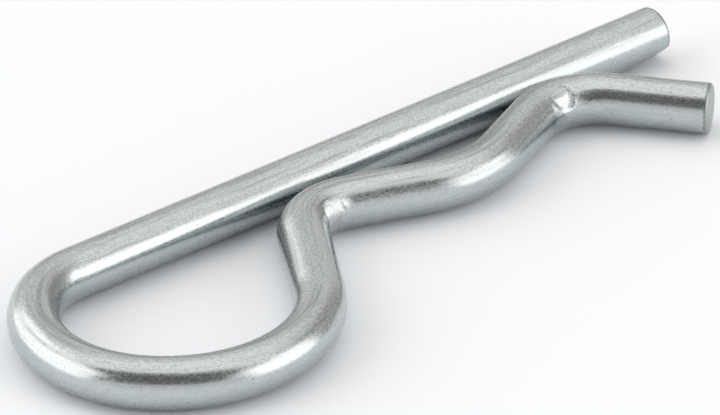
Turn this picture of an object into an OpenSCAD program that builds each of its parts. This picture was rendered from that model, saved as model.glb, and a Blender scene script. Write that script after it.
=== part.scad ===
// Spring cotter, also called an R-clip or hairpin cotter: one length of round spring wire.
// A straight leg goes through the cross hole of a shaft. The wire then turns back in an open
// loop, dips in to the leg at the waist, bows out in a belly that sits round the shaft, comes
// back to the leg at the throat and flares out in a short tail.
// The clip lies flat. The leg runs along +X, its axis is Y = 0 and Z = 0, the formed side is
// on -Y, and X = 0 is where the shaft's axis crosses the leg. All lengths are in millimetres.

/* [Wire] */
// Diameter of the wire
wire_d = 8; // [7:0.1:8.6]
// Radius of the softened rim at both cut ends
rim_r = 0.7; // [0.3:0.1:1.2]

/* [Straight leg] */
// From the shaft's axis to the tip of the leg
leg_reach = 52.4; // [46:0.2:80]
// From the shaft's axis back to where the leg turns into the loop
leg_back = 64.2; // [61:0.2:80]
// How far back from the tip the shear has drawn the wire's surface in
shear_length = 7; // [3:0.5:10]
// How deep the surface is drawn in at the tip
shear_depth = 0.9; // [0.3:0.1:1.5]
// Where on the wire's round the shear bore, counted from -Y towards the floor
shear_side = 53; // [0:1:90]

/* [Loop] */
// Bend radius where the leg turns into the loop, to the middle of the wire
shoulder_r = 14.8; // [12:0.2:18]
// Angle of that bend
shoulder_angle = 36; // [30:1:42]
// Bend radius round the end of the loop
loop_r = 19.2; // [18:0.2:22]
// Angle of that bend
loop_angle = 97; // [90:1:105]
// Bend radius where the loop turns in towards the waist
heel_r = 22.8; // [21:0.2:26]

/* [Waist] */
// From the shaft's axis back to the middle of the waist's bend
waist_back = 22.6; // [20:0.2:25]
// Bend radius of the waist, to the middle of the wire
waist_r = 9.7; // [9:0.1:11]
// Space between the waist and the leg
waist_gap = 1.4; // [0.2:0.1:3]

/* [Belly] */
// Bend radius of the belly, to the middle of the wire
belly_r = 19.9; // [17:0.1:24]
// Space between the belly and the leg at its widest
belly_gap = 7.7; // [6:0.1:9]

/* [Throat] */
// From the shaft's axis forward to the middle of the throat's bend
throat_reach = 23.8; // [21:0.2:26]
// Bend radius of the throat, to the middle of the wire
throat_r = 11.9; // [10:0.1:13]
// Space between the throat and the leg
throat_gap = 0.1; // [0.1:0.1:2]

/* [Tail] */
// Angle at which the tail flares away from the leg
tail_angle = 51.5; // [35:0.5:65]
// Straight length of the tail
tail_length = 14.9; // [8:0.1:30]

/* [Tool marks] */
// Radius of the forming pins that bore on the inside of the two tight bends
press_r = 2.4; // [1.5:0.1:4]
// How deep the pins are pressed into the wire
press_depth = 0.8; // [0.2:0.1:1.2]
// Direction in which the wire runs at the middle of the waist's mark
waist_mark = 18; // [0:1:40]
// Direction in which the wire runs at the middle of the throat's mark
throat_mark = -5; // [-30:1:10]
// How far above level the waist's mark faces
waist_lean = 24; // [0:1:45]
// How far above level the throat's mark faces
throat_lean = 34; // [0:1:45]

/* [Hidden] */

steel = [0.72, 0.74, 0.74];
round_faces = 48;
bend_faces = 160;
wire_r = wire_d / 2;

// The wire is drawn in stretches. Every second one is thinner by the step and runs on into its
// neighbours by the lap, so that two stretches always join on a clean edge.
seam_step = 0.02;
seam_lap = 0.3;
inner_r = wire_r - seam_step;

// A bend's data: its middle, its radius and the way it turns, 1 to the left and -1 to the right.
// A heading is the direction in which the wire runs, in degrees from +X.
function side_of(heading) = [sin(heading), -cos(heading)];

// Point of a bend at which the wire runs in a heading
function bend_point(middle, radius, turn, heading) = middle + turn * radius * side_of(heading);

// Heading of the straight run that leaves one bend and enters the next, which turns the other way
function run_heading(middle_1, radius_1, turn_1, middle_2, radius_2) =
    let (span = middle_2 - middle_1)
    atan2(span.y, span.x) + turn_1 * asin((radius_1 + radius_2) / norm(span));

// The loop: three bends to the left, each tangent to the one before it
leg_heading = 180;
shoulder_end = leg_heading + shoulder_angle;
loop_end = shoulder_end + loop_angle;
shoulder_middle = [-leg_back, -shoulder_r];
loop_middle = shoulder_middle + (shoulder_r - loop_r) * side_of(shoulder_end);
heel_middle = loop_middle + (loop_r - heel_r) * side_of(loop_end);

// The formed side: the apex of each bend keeps its own space from the leg
waist_middle = [-waist_back, -wire_d - waist_gap - waist_r];
belly_middle = [0, -wire_d - belly_gap + belly_r];
throat_middle = [throat_reach, -wire_d - throat_gap - throat_r];

// Headings of the straight runs between the bends
heel_run = run_heading(heel_middle, heel_r, 1, waist_middle, waist_r);
waist_run = run_heading(waist_middle, waist_r, -1, belly_middle, belly_r);
belly_run = run_heading(belly_middle, belly_r, 1, throat_middle, throat_r);
tail_start = bend_point(throat_middle, throat_r, -1, -tail_angle);

// Straight stretch from one point to another, lapped into the bends at both ends
module straight(from, to) {
    run = to - from;
    translate([from.x, from.y, 0])
        rotate([0, 90, atan2(run.y, run.x)])
            translate([0, 0, -seam_lap])
                cylinder(r = inner_r, h = norm(run) + 2 * seam_lap, $fn = round_faces);
}

// Bent stretch between two headings
module bend(middle, radius, turn, heading_1, heading_2, section_r = wire_r, lap = 0) {
    lap_angle = lap / radius * 180 / PI;
    first = turn > 0 ? heading_1 - 90 : heading_2 + 90;
    translate([middle.x, middle.y, 0])
        rotate_extrude(
            angle = abs(heading_2 - heading_1) + 2 * lap_angle,
            start = first - lap_angle,
            $fn = bend_faces
        )
            translate([radius, 0])
                circle(r = section_r, $fn = round_faces);
}

// Half outline of a cut end, with its softened rim
module end_outline(length) {
    square([inner_r - rim_r, length]);
    square([inner_r, length - rim_r]);
    translate([inner_r - rim_r, length - rim_r])
        intersection() {
            circle(r = rim_r, $fn = round_faces);
            square(rim_r);
        }
}

// Straight stretch that runs from a bend to a cut end
module cut_end(from, heading, length) {
    translate([from.x, from.y, 0])
        rotate([0, 90, heading])
            translate([0, 0, -seam_lap])
                rotate_extrude($fn = round_faces)
                    end_outline(length + seam_lap);
}

// What the shear took off one side of the leg's tip, in a long round sweep
module shear_sweep() {
    sweep_r = (shear_length ^ 2 + shear_depth ^ 2) / (2 * shear_depth);
    translate([leg_reach, 0, 0])
        rotate([shear_side, 0, 0])
            difference() {
                translate([-shear_length, -2 * wire_r, -wire_d])
                    cube([2 * shear_length, wire_r + shear_depth, 2 * wire_d]);
                translate([-shear_length, sweep_r - wire_r, 0])
                    cylinder(r = sweep_r, h = 3 * wire_d, center = true, $fn = bend_faces * 2);
            }
}

// Forming pin that leans over the inside of a bend that turns to the right
module forming_pin(middle, radius, heading, lean) {
    seat = bend_point(middle, radius, -1, heading);
    translate([seat.x, seat.y, 0])
        rotate([-lean, 0, heading])
            translate([0, press_depth - wire_r - press_r, 0])
                cylinder(r = press_r, h = 2 * wire_d, center = true, $fn = round_faces);
}

// The leg, with its sheared tip
module leg() {
    difference() {
        cut_end([-leg_back, 0], 0, leg_back + leg_reach);
        shear_sweep();
    }
}

// The open loop at the end of the leg and the run up to the waist
module loop() {
    bend(shoulder_middle, shoulder_r, 1, leg_heading, shoulder_end);
    bend(loop_middle, loop_r, 1, shoulder_end, loop_end, inner_r, seam_lap);
    bend(heel_middle, heel_r, 1, loop_end, heel_run + 360);
    straight(
        bend_point(heel_middle, heel_r, 1, heel_run),
        bend_point(waist_middle, waist_r, -1, heel_run)
    );
}

// The waist, the belly that sits round the shaft and the runs beside it
module belly() {
    bend(waist_middle, waist_r, -1, heel_run, waist_run);
    straight(
        bend_point(waist_middle, waist_r, -1, waist_run),
        bend_point(belly_middle, belly_r, 1, waist_run)
    );
    bend(belly_middle, belly_r, 1, waist_run, belly_run);
    straight(
        bend_point(belly_middle, belly_r, 1, belly_run),
        bend_point(throat_middle, throat_r, -1, belly_run)
    );
}

// The throat and the flared tail
module tail() {
    bend(throat_middle, throat_r, -1, belly_run, -tail_angle);
    cut_end(tail_start, -tail_angle, tail_length);
}

// The whole clip, one wire from tip to tail, with the marks of the two forming pins
module clip() {
    color(steel)
        difference() {
            union() {
                leg();
                loop();
                belly();
                tail();
            }
            forming_pin(waist_middle, waist_r, waist_mark, waist_lean);
            forming_pin(throat_middle, throat_r, throat_mark, throat_lean);
        }
}

clip();
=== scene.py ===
"""Spring cotter: one bent length of zinc-plated spring wire lying on a plain white floor.

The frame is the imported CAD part. Its one node, the clip, is shown by one swept mesh that follows the
same path and adds what the wire's surface shows: the lands that the forming pins left, the sheared
tip, the softened rims and the drawn, plated skin. Lengths are in millimetres until a mesh is made.
"""

from __future__ import annotations

import logging
import math
from collections.abc import Sequence
from dataclasses import dataclass
from enum import Enum
from typing import NamedTuple

import bpy
import numpy as np
from mathutils import Matrix, Vector


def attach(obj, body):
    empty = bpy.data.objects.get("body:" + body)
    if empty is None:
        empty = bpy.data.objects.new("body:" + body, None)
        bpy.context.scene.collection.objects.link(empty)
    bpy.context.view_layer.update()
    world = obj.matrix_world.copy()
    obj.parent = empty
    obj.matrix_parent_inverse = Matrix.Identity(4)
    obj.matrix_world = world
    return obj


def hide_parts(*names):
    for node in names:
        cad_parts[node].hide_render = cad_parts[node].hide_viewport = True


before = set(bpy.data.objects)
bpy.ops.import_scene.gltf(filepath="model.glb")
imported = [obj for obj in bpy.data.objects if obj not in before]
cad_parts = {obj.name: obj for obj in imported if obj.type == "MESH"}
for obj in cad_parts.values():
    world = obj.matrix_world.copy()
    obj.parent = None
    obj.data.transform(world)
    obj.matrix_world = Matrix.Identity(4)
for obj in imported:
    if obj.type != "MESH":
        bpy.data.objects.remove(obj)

logging.basicConfig(level=logging.INFO, format="%(levelname)s %(message)s")
log = logging.getLogger("spring_cotter")

MM = 0.001
FLOOR_Z_MM = -4.0
UP = np.array([0.0, 0.0, 1.0])
FULL_TURN = 360.0
TINY_MM = 1e-6
# Two stretches count as joined within this distance, and rings stand on this many decimals.
JOINT_MM = 1e-4
RING_DECIMALS = 5

Socket = bpy.types.NodeSocket


class Turn(Enum):
    """Which way a bend turns as the wire is followed from the leg's tip to the tail."""

    LEFT = 1
    RIGHT = -1


class BurrSide(Enum):
    """On which side of a land the skin is crumbled."""

    LOOP = -1.0
    TAIL = 1.0


class Channel(Enum):
    """Names of the data that the wire's mesh carries for its material."""

    PLACE = "wire_mm"
    PRESS = "press"
    FACE = "cut_face"
    SQUEEZE = "squeeze"
    BURR = "burr"


def linear(hex_code: str) -> tuple[float, float, float, float]:
    """Turns an sRGB hex colour into the linear colour that Blender reads.

    Args:
        hex_code: Colour as "#RRGGBB".

    Returns:
        Linear red, green, blue and an alpha of 1.
    """
    digits = hex_code.lstrip("#")
    channels = [int(digits[i : i + 2], 16) / 255 for i in (0, 2, 4)]
    return tuple(c / 12.92 if c <= 0.04045 else ((c + 0.055) / 1.055) ** 2.4 for c in channels) + (1.0,)


def side_of(heading: float) -> np.ndarray:
    """Unit vector to the right of a heading.

    Args:
        heading: Direction in which the wire runs, in degrees from +X.

    Returns:
        Vector in the plane of the clip.
    """
    angle = math.radians(heading)
    return np.array([math.sin(angle), -math.cos(angle)])


def leaning(sideways: np.ndarray, degrees: float) -> np.ndarray:
    """Tips a level direction upward.

    Args:
        sideways: Level unit vector.
        degrees: Angle above level.

    Returns:
        The tipped unit vector.
    """
    angle = math.radians(degrees)
    return math.cos(angle) * sideways + math.sin(angle) * UP


def crossing_heading(
    first: np.ndarray, first_radius: float, turn: Turn, second: np.ndarray, second_radius: float
) -> float:
    """Heading of the straight run that crosses from one bend over to the next, opposite one.

    Args:
        first: Middle of the bend that the run leaves.
        first_radius: Its radius.
        turn: Which way it turns.
        second: Middle of the bend that the run meets.
        second_radius: Its radius.

    Returns:
        The heading in degrees.
    """
    span = second - first
    lean = math.degrees(math.asin((first_radius + second_radius) / float(np.linalg.norm(span))))
    return math.degrees(math.atan2(span[1], span[0])) + turn.value * lean


@dataclass(frozen=True)
class Stretch:
    """A straight run (turn None) or a bend of the wire's axis."""

    start: tuple[float, float]
    heading: float
    length: float
    radius: float = 0.0
    turn: Turn | None = None

    def at(self, distance: np.ndarray) -> tuple[np.ndarray, np.ndarray]:
        """Finds the axis at distances along this stretch.

        Args:
            distance: Distances from the start, in mm.

        Returns:
            Points, one a row, and headings in degrees.
        """
        start = np.array(self.start)
        if self.turn is None:
            angle = math.radians(self.heading)
            along = np.array([math.cos(angle), math.sin(angle)])
            return start + distance[:, None] * along, np.full_like(distance, self.heading)
        way = self.turn.value
        middle = start - way * self.radius * side_of(self.heading)
        headings = self.heading + way * np.degrees(distance / self.radius)
        angles = np.radians(headings)
        sides = np.stack([np.sin(angles), -np.cos(angles)], axis=1)
        return middle + way * self.radius * sides, headings


@dataclass
class LaidWire:
    """Runs and bends laid end to end, each tangent to the one before it."""

    stretches: list[Stretch]

    def end(self) -> tuple[tuple[float, float], float]:
        """Finds where the wire laid so far ends.

        Returns:
            The end point, and the heading there.
        """
        last = self.stretches[-1]
        point, heading = last.at(np.array([last.length]))
        return (float(point[0, 0]), float(point[0, 1])), float(heading[0])

    def bend(self, radius: float, turn: Turn, new_heading: float) -> None:
        """Adds a bend.

        Args:
            radius: Its radius.
            turn: Which way it turns.
            new_heading: Heading in which it ends, in degrees.
        """
        start, heading = self.end()
        length = math.radians(abs(new_heading - heading)) * radius
        self.stretches.append(Stretch(start, heading, length, radius, turn))

    def run_to(self, middle: np.ndarray, radius: float, turn: Turn) -> None:
        """Adds the straight run up to the next bend.

        Args:
            middle: Middle of that bend.
            radius: Its radius.
            turn: Which way it turns.
        """
        start, heading = self.end()
        entry = middle + turn.value * radius * side_of(heading)
        self.stretches.append(Stretch(start, heading, float(np.linalg.norm(entry - np.array(start)))))


@dataclass(frozen=True)
class PinPress:
    """The land that a forming pin pressed on the inside of a tight bend.

    It is a short, straight and round land a little under the bend's skin, with a rounded outline. Its
    ends toward the loop and toward the tail step up to the skin over widths of their own, and one of
    them is crumbled into a burr. Headings and leans are in degrees. The press acts within
    reach_in_radii of its mark and starts gently, over easing. A point that stood full_land_depth or
    more above the land shows it in full.
    """

    middle: np.ndarray
    bend_radius: float
    heading: float
    land_heading: float
    lean: float
    land_lean: float
    land_radius: float
    depth: float
    half_length: float
    half_height: float
    loop_edge: float
    tail_edge: float
    burr_side: BurrSide
    burr_width: float = 0.35
    outline_power: float = 2.4
    easing: float = 0.04
    full_land_depth: float = 0.12
    reach_in_radii: float = 1.5

    def push(
        self, points: np.ndarray, centres: np.ndarray, wire_radius: float
    ) -> tuple[np.ndarray, np.ndarray, np.ndarray]:
        """Presses the surface in to the land.

        Args:
            points: Surface points, one a row.
            centres: The axis point of each surface point's section.
            wire_radius: Radius of the wire.

        Returns:
            The moved points, and how much of the land and of its burr each point shows, from 0 to 1.
        """
        side = np.append(side_of(self.land_heading), 0.0)
        along = np.cross(UP, side)
        facing = leaning(side, self.land_lean)
        bend_middle = np.append(self.middle, 0.0)
        pressed_to = wire_radius - self.depth
        skin = bend_middle - self.bend_radius * side + pressed_to * leaning(side, self.lean)
        offset = points - (skin - self.land_radius * facing)
        outward = offset - (offset @ along)[:, None] * along
        reach_out = np.linalg.norm(outward, axis=1)
        outward /= np.maximum(reach_out, TINY_MM)[:, None]
        over = np.clip(reach_out - self.land_radius, 0.0, None)

        mark_side = np.append(side_of(self.heading), 0.0)
        mark_facing = leaning(mark_side, self.lean)
        mark = bend_middle - self.bend_radius * mark_side + wire_radius * mark_facing
        reach = (points - mark) @ along
        across = self.land_radius * np.arctan2(outward @ np.cross(along, facing), outward @ facing)
        power = self.outline_power
        outline = np.abs(reach / self.half_length) ** power + np.abs(across / self.half_height) ** power
        past_edge = (outline ** (1 / power) - 1) * self.half_length
        edge = np.clip(0.5 - past_edge / np.where(reach < 0, self.loop_edge, self.tail_edge), 0.0, 1.0)
        near = np.linalg.norm(points - mark, axis=1) < self.reach_in_radii * wire_radius
        near &= (points - centres) @ mark_facing > 0
        hold = np.where(near, edge**2 * (3 - 2 * edge), 0.0)

        burr = np.exp(-((past_edge / self.burr_width) ** 2)) * (np.abs(across) < self.half_height)
        burr *= near * np.clip(self.burr_side.value * reach / self.half_length, 0.0, 1.0)
        land = hold * np.clip(over / self.full_land_depth, 0.0, 1.0)
        eased = over**2 / (over + self.easing)
        return points - (eased * hold)[:, None] * outward, land, burr


@dataclass(frozen=True)
class ClipPath:
    """Sizes of the clip and the path of its wire, from the leg's tip to the end of the tail."""

    wire_radius: float = 4.0
    rim_radius: float = 0.7
    leg_reach: float = 52.4
    leg_back: float = 64.2
    shoulder_radius: float = 14.8
    shoulder_angle: float = 36.0
    loop_radius: float = 19.2
    loop_angle: float = 97.0
    heel_radius: float = 22.8
    waist_back: float = 22.6
    waist_radius: float = 9.7
    waist_gap: float = 1.4
    belly_radius: float = 19.9
    belly_gap: float = 7.7
    throat_reach: float = 23.8
    throat_radius: float = 11.9
    throat_gap: float = 0.1
    tail_angle: float = 51.5
    tail_length: float = 14.9

    @property
    def waist_middle(self) -> np.ndarray:
        """Middle of the waist's bend."""
        return np.array([-self.waist_back, -2 * self.wire_radius - self.waist_gap - self.waist_radius])

    @property
    def throat_middle(self) -> np.ndarray:
        """Middle of the throat's bend."""
        return np.array([self.throat_reach, -2 * self.wire_radius - self.throat_gap - self.throat_radius])

    def presses(self) -> list[PinPress]:
        """Describes what the two forming pins pressed.

        Returns:
            The waist's land and the throat's, in the order of the wire.
        """
        waist = PinPress(
            middle=self.waist_middle,
            bend_radius=self.waist_radius,
            heading=17.0,
            land_heading=8.0,
            lean=12.0,
            land_lean=12.0,
            land_radius=3.9,
            depth=0.18,
            half_length=2.1,
            half_height=2.6,
            loop_edge=0.25,
            tail_edge=0.8,
            burr_side=BurrSide.LOOP,
        )
        throat = PinPress(
            middle=self.throat_middle,
            bend_radius=self.throat_radius,
            heading=1.0,
            land_heading=4.0,
            lean=52.0,
            land_lean=37.0,
            land_radius=7.0,
            depth=0.06,
            half_length=1.7,
            half_height=2.1,
            loop_edge=0.8,
            tail_edge=0.7,
            burr_side=BurrSide.TAIL,
        )
        return [waist, throat]

    def stretches(self) -> list[Stretch]:
        """Lays the runs and bends of the whole wire.

        Returns:
            The stretches in order.
        """
        belly_middle = np.array([0.0, -2 * self.wire_radius - self.belly_gap + self.belly_radius])
        shoulder_end = 180.0 + self.shoulder_angle
        loop_end = shoulder_end + self.loop_angle
        shoulder_middle = np.array([-self.leg_back, -self.shoulder_radius])
        loop_middle = shoulder_middle + (self.shoulder_radius - self.loop_radius) * side_of(shoulder_end)
        heel_middle = loop_middle + (self.loop_radius - self.heel_radius) * side_of(loop_end)
        heel = (heel_middle, self.heel_radius)
        waist = (self.waist_middle, self.waist_radius)
        belly = (belly_middle, self.belly_radius)
        throat = (self.throat_middle, self.throat_radius)

        wire = LaidWire([Stretch((self.leg_reach, 0.0), 180.0, self.leg_reach + self.leg_back)])
        wire.bend(self.shoulder_radius, Turn.LEFT, shoulder_end)
        wire.bend(self.loop_radius, Turn.LEFT, loop_end)
        wire.bend(self.heel_radius, Turn.LEFT, crossing_heading(*heel, Turn.LEFT, *waist) + FULL_TURN)
        wire.run_to(*waist, Turn.RIGHT)
        wire.bend(self.waist_radius, Turn.RIGHT, crossing_heading(*waist, Turn.RIGHT, *belly) + FULL_TURN)
        wire.run_to(*belly, Turn.LEFT)
        wire.bend(self.belly_radius, Turn.LEFT, crossing_heading(*belly, Turn.LEFT, *throat) + FULL_TURN)
        wire.run_to(*throat, Turn.RIGHT)
        wire.bend(self.throat_radius, Turn.RIGHT, FULL_TURN - self.tail_angle)
        start, heading = wire.end()
        return [*wire.stretches, Stretch(start, heading, self.tail_length)]


@dataclass(frozen=True)
class ShearMark:
    """How the shear drew in one side of the leg's tip."""

    length: float = 7.0
    depth: float = 0.9
    degrees_below_level: float = 53.0

    def pull(self, points: np.ndarray, from_tip: np.ndarray, wire_radius: float) -> np.ndarray:
        """Draws the surface in beside the tip.

        Args:
            points: Surface points, one a row.
            from_tip: Each point's distance from the tip, in mm.
            wire_radius: Radius of the wire.

        Returns:
            The moved points.
        """
        side = leaning(np.array([0.0, -1.0, 0.0]), -self.degrees_below_level)
        sweep = (self.length**2 + self.depth**2) / (2 * self.depth)
        back = np.clip(self.length - from_tip, 0.0, self.length)
        limit = wire_radius - (sweep - np.sqrt(sweep**2 - back**2))
        over = np.where(from_tip < self.length, np.clip(points @ side - limit, 0.0, None), 0.0)
        return points - over[:, None] * side


@dataclass(frozen=True)
class WireMesh:
    """The whole wire as one swept skin with two cut faces.

    The rings stand closer within fine_reach of a pin's mark. A cut face's rings bunch by its rim, and
    its look spreads over the rim by cut_spread. The bend's squeeze is blended over some rings.
    """

    path: ClipPath = ClipPath()
    shear: ShearMark = ShearMark()
    around: int = 96
    step: float = 0.5
    fine_step: float = 0.2
    fine_reach: float = 4.0
    rim_rings: int = 6
    face_rings: int = 7
    face_bunching: float = 1.3
    cut_spread: float = 1.5
    curve_blend_rings: int = 6

    def distances(self, total: float, marks: list[float]) -> np.ndarray:
        """Chooses where the rings stand along the wire.

        Args:
            total: Length of the wire's axis.
            marks: Distances at which the forming pins bore.

        Returns:
            Increasing distances from the leg's tip, in mm.
        """
        rim = self.path.rim_radius
        edge = rim * (1 - np.cos(np.linspace(0, math.pi / 2, self.rim_rings)))
        body = np.arange(rim + self.step, total - rim, self.step)
        reach = self.fine_reach
        fine = np.concatenate([np.arange(mark - reach, mark + reach, self.fine_step) for mark in marks])
        far = np.all(np.abs(body[:, None] - np.array(marks)[None, :]) > reach, axis=1)
        rings = np.concatenate([edge, body[far], fine, total - edge])
        return np.unique(np.round(rings, RING_DECIMALS))

    def axis(self, distances: np.ndarray) -> tuple[np.ndarray, np.ndarray, np.ndarray]:
        """Finds the wire's axis at distances from the leg's tip.

        Args:
            distances: Increasing distances, in mm.

        Returns:
            Points in the plane, one a row, headings in degrees, and curvatures, positive to the left.
        """
        points = np.zeros((len(distances), 2))
        headings = np.zeros(len(distances))
        curves = np.zeros(len(distances))
        start = 0.0
        for stretch in self.path.stretches():
            end = start + stretch.length
            here = (distances >= start - JOINT_MM) & (distances <= end + JOINT_MM)
            points[here], headings[here] = stretch.at(distances[here] - start)
            curves[here] = stretch.turn.value / stretch.radius if stretch.turn else 0.0
            start = end
        return points, headings, curves

    def mark_distances(self) -> list[float]:
        """Finds how far along the wire each forming pin bore.

        Returns:
            Distances from the leg's tip, in mm.
        """
        found = []
        start = 0.0
        headings = iter(press.heading for press in self.path.presses())
        for stretch in self.path.stretches():
            if stretch.turn is Turn.RIGHT:
                turned = stretch.heading - FULL_TURN - next(headings)
                found.append(start + math.radians(turned) * stretch.radius)
            start += stretch.length
        return found

    def build(self, name: str) -> bpy.types.Object:
        """Sweeps the skin, presses and shears it, closes its ends and stores the material's channels.

        Args:
            name: Name of the new object.

        Returns:
            The wire, linked to the scene.
        """
        radius, rim = self.path.wire_radius, self.path.rim_radius
        total = sum(stretch.length for stretch in self.path.stretches())
        along = self.distances(total, self.mark_distances())
        centres, headings, curves = self.axis(along)
        blend = 2 * self.curve_blend_rings + 1
        curves = np.pad(curves, self.curve_blend_rings, mode="edge")
        curves = np.convolve(curves, np.ones(blend) / blend, mode="valid")
        drop = np.clip(rim - np.minimum(along, total - along), 0.0, rim)
        inward = (np.arange(1, self.face_rings) / self.face_rings) ** self.face_bunching
        face_radii = (radius - rim) * (1 - inward)

        # Each cut face repeats its end's ring, ever smaller.
        ends = (len(face_radii), len(face_radii))
        s = np.pad(along, ends, mode="edge")
        centre = np.pad(centres, (ends, (0, 1)))
        centre[:, :2] = np.pad(centres, (ends, (0, 0)), mode="edge")
        heading = np.radians(np.pad(headings, ends, mode="edge"))
        section = np.concatenate([face_radii[::-1], radius - rim + np.sqrt(rim**2 - drop**2), face_radii])
        is_face = np.pad(np.clip(self.cut_spread * drop / rim, 0.0, 1.0), ends, constant_values=1.0)
        curve = np.pad(curves, ends)

        phi = np.linspace(0, 2 * math.pi, self.around, endpoint=False)
        count = len(s)
        left = np.stack([-np.sin(heading), np.cos(heading), np.zeros(count)], axis=1)
        out = np.cos(phi)[None, :, None] * left[:, None, :] + np.sin(phi)[None, :, None] * UP
        points = (centre[:, None, :] + section[:, None, None] * out).reshape(-1, 3)
        leftward, upward = np.outer(section, np.cos(phi)), np.outer(section, np.sin(phi))
        place = np.stack([np.repeat(s, self.around), leftward.ravel(), upward.ravel()], axis=1)
        ring_centres = np.repeat(centre, self.around, axis=0)
        pressed, burr = np.zeros(len(points)), np.zeros(len(points))
        for press in self.path.presses():
            points, land, crumbled = press.push(points, ring_centres, radius)
            pressed, burr = np.maximum(pressed, land), np.maximum(burr, crumbled)
        points = self.shear.pull(points, np.repeat(s, self.around), radius)

        points = np.vstack([points, points[: self.around].mean(axis=0), points[-self.around :].mean(axis=0)])
        place = np.vstack([place, [0.0, 0.0, 0.0], [total, 0.0, 0.0]])
        channels = {
            Channel.PRESS: np.append(pressed, [0.0, 0.0]),
            Channel.BURR: np.append(burr, [0.0, 0.0]),
            Channel.FACE: np.append(np.repeat(is_face, self.around), [1.0, 1.0]),
            Channel.SQUEEZE: np.append(np.clip(curve[:, None] * leftward, 0.0, None).ravel(), [0.0, 0.0]),
        }
        return self._to_object(name, points, count, place, channels)

    def _to_object(
        self,
        name: str,
        points: np.ndarray,
        rings: int,
        place: np.ndarray,
        channels: dict[Channel, np.ndarray],
    ) -> bpy.types.Object:
        """Makes the Blender object from the skin's rings.

        Args:
            name: Name of the object.
            points: Surface points in mm, ring by ring, then the two face middles.
            rings: Number of rings.
            place: Each point's place on the wire, in mm.
            channels: One value a point for each further channel.

        Returns:
            The new object.
        """
        n = self.around
        i, j = np.meshgrid(np.arange(rings - 1), np.arange(n), indexing="ij")
        after = (j + 1) % n
        quads = np.stack([i * n + j, i * n + after, (i + 1) * n + after, (i + 1) * n + j], axis=-1)
        corners = [tuple(int(corner) for corner in quad) for quad in quads.reshape(-1, 4)]
        first_middle, last_middle, last_ring = rings * n, rings * n + 1, (rings - 1) * n
        corners += [(first_middle, (k + 1) % n, k) for k in range(n)]
        corners += [(last_middle, last_ring + k, last_ring + (k + 1) % n) for k in range(n)]
        mesh = bpy.data.meshes.new(name)
        mesh.from_pydata([tuple(p) for p in points * MM], [], corners)
        mesh.validate()
        mesh.polygons.foreach_set("use_smooth", [True] * len(mesh.polygons))
        data = mesh.attributes.new(Channel.PLACE.value, "FLOAT_VECTOR", "POINT")
        data.data.foreach_set("vector", place.ravel())
        for channel, values in channels.items():
            data = mesh.attributes.new(channel.value, "FLOAT", "POINT")
            data.data.foreach_set("value", values)
        mesh.update()
        wire = bpy.data.objects.new(name, mesh)
        bpy.context.scene.collection.objects.link(wire)
        return wire


class Kind(Enum):
    """The kinds of node in use."""

    DATA = "ShaderNodeAttribute"
    AXES = "ShaderNodeSeparateXYZ"
    VECTOR = "ShaderNodeVectorMath"
    MATH = "ShaderNodeMath"
    RANGE = "ShaderNodeMapRange"
    MIX = "ShaderNodeMix"
    NOISE = "ShaderNodeTexNoise"
    CELLS = "ShaderNodeTexVoronoi"
    BUMP = "ShaderNodeBump"
    METAL = "ShaderNodeBsdfPrincipled"
    PAPER = "ShaderNodeBsdfDiffuse"
    TOWARDS = "ShaderNodeTexCoord"
    GLOW = "ShaderNodeBackground"
    SURFACE = "ShaderNodeOutputMaterial"
    SKY = "ShaderNodeOutputWorld"


# Node settings that many nodes share.
SMOOTH = {"interpolation_type": "SMOOTHSTEP"}
TIMES = {"operation": "MULTIPLY"}
TIMES_PLUS = {"operation": "MULTIPLY_ADD"}
MINUS = {"operation": "SUBTRACT"}
GREATER = {"operation": "MAXIMUM"}
SIZE_OF = {"operation": "ABSOLUTE"}


@dataclass
class NodeGraph:
    """A node tree and the one small function that fills it."""

    tree: bpy.types.NodeTree

    def add(
        self,
        kind: Kind,
        inputs: Sequence[object] | dict[int | str, object] = (),
        output: int | str = 0,
        **settings: object,
    ) -> Socket | None:
        """Adds a node with its settings and links.

        Args:
            kind: The kind of node.
            inputs: Numbers or other nodes' outputs, in order, or by number or name of the input.
            output: Number or name of the output that is handed on.
            **settings: The node's properties.

        Returns:
            The output, or None for a node that has none.
        """
        node = self.tree.nodes.new(kind.value)
        for name, value in settings.items():
            setattr(node, name, value)
        for key, value in inputs.items() if isinstance(inputs, dict) else enumerate(inputs):
            if isinstance(value, Socket):
                self.tree.links.new(value, node.inputs[key])
            else:
                node.inputs[key].default_value = value
        return node.outputs[output] if len(node.outputs) else None


class Ramp(NamedTuple):
    """A smooth change from one value to another over a range."""

    low: float
    high: float
    at_low: float
    at_high: float


@dataclass(frozen=True)
class Pattern:
    """Noise on the wire's skin, by the real size of what it stands for."""

    width_mm: float
    length_mm: float
    detail: float
    roughness: float


class Mark(Enum):
    """The patterns of the skin. Lengths run along the wire."""

    # Real drawing lines and plating grain are under 0.1 mm wide, and are drawn coarser here, to show.
    FINE_LINES = Pattern(0.2, 4.0, 3.0, 0.6)
    BROAD_LINES = Pattern(0.667, 33.3, 3.0, 0.6)
    GRAIN = Pattern(0.294, 0.4525, 2.0, 0.7)
    CLOUDS = Pattern(2.857, 23.8, 3.0, 0.5)
    STREAKS = Pattern(1.333, 38.1, 4.0, 0.62)
    WANDERING = Pattern(1.4286, 119.0, 2.0, 0.5)
    FADING = Pattern(2.5, 20.83, 3.0, 0.6)
    WRINKLES = Pattern(0.909, 1.818, 3.0, 0.55)
    DIMPLES = Pattern(1.333, 1.333, 2.0, 0.6)
    TORN = Pattern(0.625, 0.625, 3.0, 0.7)
    CRUMBS = Pattern(0.667, 0.667, 3.0, 0.65)


@dataclass(frozen=True)
class Skin:
    """What the material reads at each place of the wire's skin."""

    place: Socket
    height: Socket
    land: Socket
    burr: Socket
    face: Socket
    squeeze: Socket
    marks: dict[Mark, Socket]


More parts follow.
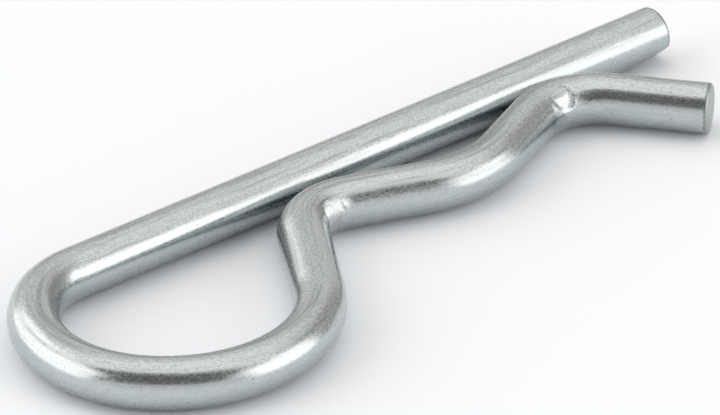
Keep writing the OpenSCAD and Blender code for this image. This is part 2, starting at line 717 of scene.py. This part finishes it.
@dataclass(frozen=True)
class ZincPlatedWire:
    """Finish of bright zinc plating over drawn spring wire.

    Ramps over the skin's height count millimetres above the wire's axis, and the pit's ramp counts
    shares of the pits' spacing.
    """

    plate: str = "#CBCECB"
    drawn: str = "#ABAFAD"
    # Painted cool reflection: the colour laid on the lower sides of the wire.
    painted_cool_side_reflection: str = "#BCC6CA"
    # Stain colour, also used for the painted shade on the rims of the cut ends.
    stain_and_rim_shade: str = "#5F6260"
    pressed: str = "#BEC2C2"
    cut: str = "#A9ADAC"

    land: Ramp = Ramp(0.1, 0.9, 0.0, 1.0)
    line_tone: float = 0.3
    grain_tone: float = 0.7
    plate_share: Ramp = Ramp(0.36, 0.62, 0.0, 1.0)
    painted_cool_side_share: Ramp = Ramp(1.0, 3.1, 0.5, 0.0)
    cut_share: float = 0.7

    upper_side: Ramp = Ramp(1.2, 3.5, 0.2, 1.0)
    streaks: Ramp = Ramp(0.48, 0.68, 0.0, 1.0)
    specks: Ramp = Ramp(0.45, 0.65, 0.26, 0.78)
    lone_specks: Ramp = Ramp(0.64, 0.74, 0.0, 0.25)
    hairline_level: float = 0.52
    hairline: Ramp = Ramp(0.004, 0.02, 1.0, 0.0)
    hairline_fading: Ramp = Ramp(0.45, 0.58, 0.0, 0.55)
    hairline_breaks: Ramp = Ramp(0.35, 0.6, 0.35, 1.0)
    pit_spacing_mm: float = 2.38
    pit: Ramp = Ramp(0.03, 0.06, 0.8, 0.0)
    # Painted shade on the rims of the cut ends, speckled by the grain.
    painted_rim_shade_ramp: Ramp = Ramp(0.4, 0.6, 1.2, 3.6)

    roughness: float = 0.045
    cloud_roughness: float = 0.08
    grain_roughness: float = 0.3
    stain_roughness: float = 0.18
    land_roughness: float = 0.08
    cut_roughness: float = 0.2

    relief_mm: float = 0.02
    grain_relief: Ramp = Ramp(1.0, 3.0, 0.22, 0.45)
    fine_line_relief: float = 0.03
    broad_line_relief: float = 0.02
    wrinkle_relief: float = 12.0
    stain_relief: float = -0.15
    dimple_relief: float = 7.0
    torn_relief: float = 3.0
    crumb_level: float = 0.5
    burr_relief: float = 28.0

    def build(self) -> bpy.types.Material:
        """Makes the wire's material.

        Returns:
            The material.
        """
        # A cool light grey plate with soft broad highlights whose edges break up along fine drawing
        # lines. Dark specks gather in stains drawn out along the wire, and a few pits show.
        material = bpy.data.materials.new("zinc_plated_spring_steel_wire")
        material.use_nodes = True
        material.node_tree.nodes.clear()
        graph = NodeGraph(material.node_tree)
        skin = self._skin(graph)
        dark = self._darkening(graph, skin)
        bump = {
            "Strength": 1.0,
            "Distance": self.relief_mm * MM,
            "Height": self._relief(graph, skin, dark),
        }
        metal = {
            "Base Color": self._colour(graph, skin, dark),
            "Metallic": 1.0,
            "Roughness": self._roughness(graph, skin, dark),
            "Normal": graph.add(Kind.BUMP, bump),
        }
        graph.add(Kind.SURFACE, {"Surface": graph.add(Kind.METAL, metal)})
        return material

    def _skin(self, graph: NodeGraph) -> Skin:
        """Reads the mesh's channels and draws the patterns.

        Args:
            graph: The material's nodes.

        Returns:
            The skin's data.
        """
        place = graph.add(Kind.DATA, (), "Vector", attribute_name=Channel.PLACE.value)
        press, burr, face, squeeze = (
            graph.add(Kind.DATA, (), "Fac", attribute_name=channel.value)
            for channel in (Channel.PRESS, Channel.BURR, Channel.FACE, Channel.SQUEEZE)
        )
        marks = {}
        for mark in Mark:
            size = mark.value
            drawn_out = (size.width_mm / size.length_mm, 1.0, 1.0)
            noise = {
                "Vector": graph.add(Kind.VECTOR, (place, drawn_out), **TIMES),
                "Scale": 1.0 / size.width_mm,
                "Detail": size.detail,
                "Roughness": size.roughness,
            }
            marks[mark] = graph.add(Kind.NOISE, noise)
        land = graph.add(Kind.RANGE, (press, *self.land), **SMOOTH)
        return Skin(place, graph.add(Kind.AXES, (place,), "Z"), land, burr, face, squeeze, marks)

    def _darkening(self, graph: NodeGraph, skin: Skin) -> Socket:
        """Darkens the skin by stains, hairlines and pits, and paints shade on the rims of the cut ends.

        Args:
            graph: The material's nodes.
            skin: The skin's data.

        Returns:
            How dark the skin is, from 0 to 1.
        """
        grain = skin.marks[Mark.GRAIN]
        on_top = graph.add(Kind.RANGE, (skin.height, *self.upper_side), **SMOOTH)
        # Stains: faint drawn-out streaks, in which dark specks gather where the grain is high.
        dark = graph.add(Kind.RANGE, (skin.marks[Mark.STREAKS], *self.streaks), **SMOOTH)
        for share in (graph.add(Kind.RANGE, (grain, *self.specks), **SMOOTH), on_top):
            dark = graph.add(Kind.MATH, (dark, share), **TIMES)
        # Hairlines: thin dark lines that wander along the wire, fade out and break up.
        off_line = graph.add(Kind.MATH, (skin.marks[Mark.WANDERING], self.hairline_level), **MINUS)
        off_line = graph.add(Kind.MATH, (off_line,), **SIZE_OF)
        hair = graph.add(Kind.RANGE, (off_line, *self.hairline), **SMOOTH)
        fading = graph.add(Kind.RANGE, (skin.marks[Mark.FADING], *self.hairline_fading), **SMOOTH)
        breaks = graph.add(Kind.RANGE, (grain, *self.hairline_breaks), **SMOOTH)
        for share in (fading, on_top, breaks):
            hair = graph.add(Kind.MATH, (hair, share), **TIMES)
        # Painted shade: the rims of the cut ends are painted a thin dark speckled line, where their rounding
        # would catch a highlight.
        rim = graph.add(Kind.MATH, (skin.face, graph.add(Kind.MATH, (1.0, skin.face), **MINUS)), **TIMES)
        painted_rim_shade = graph.add(Kind.RANGE, (grain, *self.painted_rim_shade_ramp), **SMOOTH)
        cells = {"Vector": skin.place, "Scale": 1.0 / self.pit_spacing_mm}
        from_pit = graph.add(Kind.CELLS, cells, "Distance", feature="F1")
        others = (
            graph.add(Kind.RANGE, (grain, *self.lone_specks), **SMOOTH),
            hair,
            graph.add(Kind.RANGE, (from_pit, *self.pit), **SMOOTH),
            graph.add(Kind.MATH, (rim, painted_rim_shade), use_clamp=True, **TIMES),
        )
        for other in others:
            dark = graph.add(Kind.MATH, (dark, other), **GREATER)
        return dark

    def _colour(self, graph: NodeGraph, skin: Skin, dark: Socket) -> Socket:
        """Lays the skin's colours over each other.

        Args:
            graph: The material's nodes.
            skin: The skin's data.
            dark: How dark the skin is.

        Returns:
            The colour.
        """
        # The plate is a little duller in the drawing lines. The sides are painted cooler and more even than
        # the top, by height on the wire: a painted cool reflection.
        tone = graph.add(Kind.MATH, (skin.marks[Mark.FINE_LINES], self.line_tone), **TIMES)
        tone = graph.add(Kind.MATH, (skin.marks[Mark.GRAIN], self.grain_tone, tone), **TIMES_PLUS)
        layers = (
            (graph.add(Kind.RANGE, (tone, *self.plate_share), **SMOOTH), self.plate),
            (graph.add(Kind.RANGE, (skin.height, *self.painted_cool_side_share), **SMOOTH), self.painted_cool_side_reflection),
            (dark, self.stain_and_rim_shade),
            (skin.land, self.pressed),
            (graph.add(Kind.MATH, (skin.face, self.cut_share), **TIMES), self.cut),
        )
        colour = linear(self.drawn)
        for share, shade in layers:
            # A colour Mix node has its colours in inputs 6 and 7, and hands on the mix in output 2.
            colour = graph.add(Kind.MIX, {0: share, 6: colour, 7: linear(shade)}, 2, data_type="RGBA")
        return colour

    def _roughness(self, graph: NodeGraph, skin: Skin, dark: Socket) -> Socket:
        """Adds up how rough the skin is.

        Args:
            graph: The material's nodes.
            skin: The skin's data.
            dark: How dark the skin is.

        Returns:
            The roughness.
        """
        parts = (
            (skin.marks[Mark.CLOUDS], self.cloud_roughness),
            (skin.marks[Mark.GRAIN], self.grain_roughness),
            (dark, self.stain_roughness),
            (skin.land, self.land_roughness),
            (skin.face, self.cut_roughness),
        )
        roughness = self.roughness
        for part, share in parts:
            roughness = graph.add(Kind.MATH, (part, share, roughness), **TIMES_PLUS)
        return roughness

    def _relief(self, graph: NodeGraph, skin: Skin, dark: Socket) -> Socket:
        """Adds up the fine relief of the skin, which is too shallow to be modelled.

        Args:
            graph: The material's nodes.
            skin: The skin's data.
            dark: How dark the skin is.

        Returns:
            The height, in units of relief_mm.
        """
        # Grain and faint lines lie all over, and cross wrinkles on the squeezed side of the bends.
        # The lands are slightly dimpled and the cut ends torn, and a crumbled line runs where a land
        # steps up to the skin beside it.
        crumbs = graph.add(Kind.MATH, (skin.marks[Mark.CRUMBS], self.crumb_level), **MINUS)
        parts = (
            (skin.marks[Mark.FINE_LINES], self.fine_line_relief),
            (skin.marks[Mark.GRAIN], graph.add(Kind.RANGE, (skin.height, *self.grain_relief), **SMOOTH)),
            (skin.marks[Mark.BROAD_LINES], self.broad_line_relief),
            (graph.add(Kind.MATH, (skin.marks[Mark.WRINKLES], skin.squeeze), **TIMES), self.wrinkle_relief),
            (dark, self.stain_relief),
            (graph.add(Kind.MATH, (skin.marks[Mark.DIMPLES], skin.land), **TIMES), self.dimple_relief),
            (graph.add(Kind.MATH, (skin.marks[Mark.TORN], skin.face), **TIMES), self.torn_relief),
            (graph.add(Kind.MATH, (crumbs, skin.burr), **TIMES), self.burr_relief),
        )
        height = 0.0
        for part, share in parts:
            height = graph.add(Kind.MATH, (part, share, height), **TIMES_PLUS)
        return height


@dataclass(frozen=True)
class SoftCard:
    """A soft-edged light card of the studio, far from the object.

    Its sizes are shares of its distance.
    """

    name: str
    towards: tuple[float, float, float]
    half_width: float
    half_height: float
    softness: float
    radiance: float


@dataclass(frozen=True)
class Studio:
    """Floor, light and camera."""

    floor_colour: str = "#F8F9FB"
    floor_half_m: float = 4.0
    room: float = 0.85
    cards: tuple[SoftCard, ...] = (
        # Each has its name, direction, half width, half height, softness and radiance.
        SoftCard("ceiling", (0.0, 0.0, 1.0), 0.8, 0.8, 0.5, 1.25),
        SoftCard("dark_front", (-0.513, -0.464, 0.722), 0.95, 0.47, 0.2, 0.17),
        SoftCard("low_front", (-0.615, -0.780, 0.120), 0.9, 0.25, 0.15, 0.85),
        SoftCard("dim_corner", (0.950, -0.037, 0.309), 0.42, 0.4, 0.3, 0.5),
        SoftCard("back_gap", (0.610, 0.788, 0.087), 0.25, 0.16, 0.2, 0.5),
        SoftCard("left_box", (-0.600, 0.686, 0.411), 0.95, 0.52, 0.22, 1.93),
        SoftCard("right_box", (0.612, -0.735, 0.292), 0.46, 0.38, 0.2, 2.17),
    )
    # A card shows only on its own side of the room, and fades out towards the other side.
    ahead: Ramp = Ramp(0.02, 0.2, 0.0, 1.0)
    # A card less far than this from straight overhead is turned by the X axis, not by the vertical.
    overhead: float = 0.3

    azimuth_deg: float = 40.215
    elevation_deg: float = 30.0
    # The camera is placed from the start of the loop's shoulder, in diameters of the wire. The share
    # is that of one diameter in the distance.
    shoulder_x_mm: float = -64.2
    wire_mm: float = 8.0
    wire_share: float = 0.006
    wires_rightward: float = 5.36659
    wires_upward: float = 1.23765
    sensor_mm: float = 36.0
    lens_mm: float = 446.667
    near_m: float = 0.1
    far_m: float = 50.0

    def floor(self) -> bpy.types.Object:
        """Lays the white floor that the wire rests on.

        Returns:
            The floor.
        """
        half, z = self.floor_half_m, FLOOR_Z_MM * MM
        corners = [(-half, -half, z), (half, -half, z), (half, half, z), (-half, half, z)]
        mesh = bpy.data.meshes.new("floor")
        mesh.from_pydata(corners, [], [(0, 1, 2, 3)])
        floor = bpy.data.objects.new("floor", mesh)
        bpy.context.scene.collection.objects.link(floor)
        # Matt white paper, with no shine.
        material = bpy.data.materials.new("white_paper_floor")
        material.use_nodes = True
        material.node_tree.nodes.clear()
        graph = NodeGraph(material.node_tree)
        paper = graph.add(Kind.PAPER, {"Color": linear(self.floor_colour)})
        graph.add(Kind.SURFACE, {"Surface": paper})
        mesh.materials.append(material)
        return floor

    def light(self) -> None:
        """Lights the scene with a pale room and its soft cards."""
        world = bpy.data.worlds.new("studio")
        bpy.context.scene.world = world
        world.use_nodes = True
        world.node_tree.nodes.clear()
        graph = NodeGraph(world.node_tree)
        towards = graph.add(Kind.TOWARDS, (), "Generated")
        level: float | Socket = self.room
        for card in self.cards:
            held = self._card(graph, towards, card)
            level = graph.add(Kind.MIX, {0: held, 2: level, 3: card.radiance}, data_type="FLOAT")
            log.info("card %s: radiance %.2f", card.name, card.radiance)
        glow = graph.add(Kind.GLOW, {"Color": (1.0, 1.0, 1.0, 1.0), "Strength": level})
        graph.add(Kind.SKY, {"Surface": glow})

    def _card(self, graph: NodeGraph, towards: Socket, card: SoftCard) -> Socket:
        """Adds one card to the room.

        Args:
            graph: The world's nodes.
            towards: Direction that is looked in.
            card: The card.

        Returns:
            How much of the card that direction meets, from 0 to 1.
        """
        middle = Vector(card.towards).normalized()
        across = middle.cross(Vector((0.0, 0.0, 1.0)))
        across = across.normalized() if across.length > self.overhead else Vector((1.0, 0.0, 0.0))
        upward = across.cross(middle).normalized()
        toward_middle, sideways, above = (
            graph.add(Kind.VECTOR, (towards, tuple(axis)), "Value", operation="DOT_PRODUCT")
            for axis in (middle, across, upward)
        )
        depth = graph.add(Kind.MATH, (toward_middle, self.ahead.low), **GREATER)
        inside = graph.add(Kind.RANGE, (toward_middle, *self.ahead), **SMOOTH)
        soft = card.softness / 2
        for offset, half in ((sideways, card.half_width), (above, card.half_height)):
            offset = graph.add(Kind.MATH, (offset, depth), operation="DIVIDE")
            offset = graph.add(Kind.MATH, (offset,), **SIZE_OF)
            edge = graph.add(Kind.RANGE, (offset, half - soft, half + soft, 1.0, 0.0), **SMOOTH)
            inside = graph.add(Kind.MATH, (inside, edge), **TIMES)
        return inside

    def camera(self) -> None:
        """Stands the camera far off, above the clip's formed side."""
        azimuth, elevation = math.radians(self.azimuth_deg), math.radians(self.elevation_deg)
        right = Vector((math.cos(azimuth), -math.sin(azimuth), 0.0))
        level = math.cos(elevation)
        back = Vector((-math.sin(azimuth) * level, -math.cos(azimuth) * level, math.sin(elevation)))
        upward = back.cross(right)
        wires = back / self.wire_share + self.wires_rightward * right + self.wires_upward * upward
        centre = Vector((self.shoulder_x_mm, 0.0, 0.0)) + self.wire_mm * wires
        data = bpy.data.cameras.new("camera")
        data.sensor_width = self.sensor_mm
        data.lens = self.lens_mm
        data.clip_start, data.clip_end = self.near_m, self.far_m
        camera = bpy.data.objects.new("camera", data)
        turn = Matrix((right, upward, back)).transposed().to_4x4()
        camera.matrix_world = Matrix.Translation(centre * MM) @ turn
        bpy.context.scene.collection.objects.link(camera)
        bpy.context.scene.camera = camera


def main() -> None:
    """Builds the wire, its finish, the floor, the light and the camera."""
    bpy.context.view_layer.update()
    wire = WireMesh().build("spring_wire")
    wire.data.materials.append(ZincPlatedWire().build())
    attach(wire, "root")
    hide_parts("clip")
    log.info("wire: %d faces", len(wire.data.polygons))
    studio = Studio()
    floor = studio.floor()
    log.info("floor: %d face", len(floor.data.polygons))
    studio.light()
    studio.camera()
    bpy.context.scene.view_settings.view_transform = "Standard"


if __name__ == "__main__":
    main()
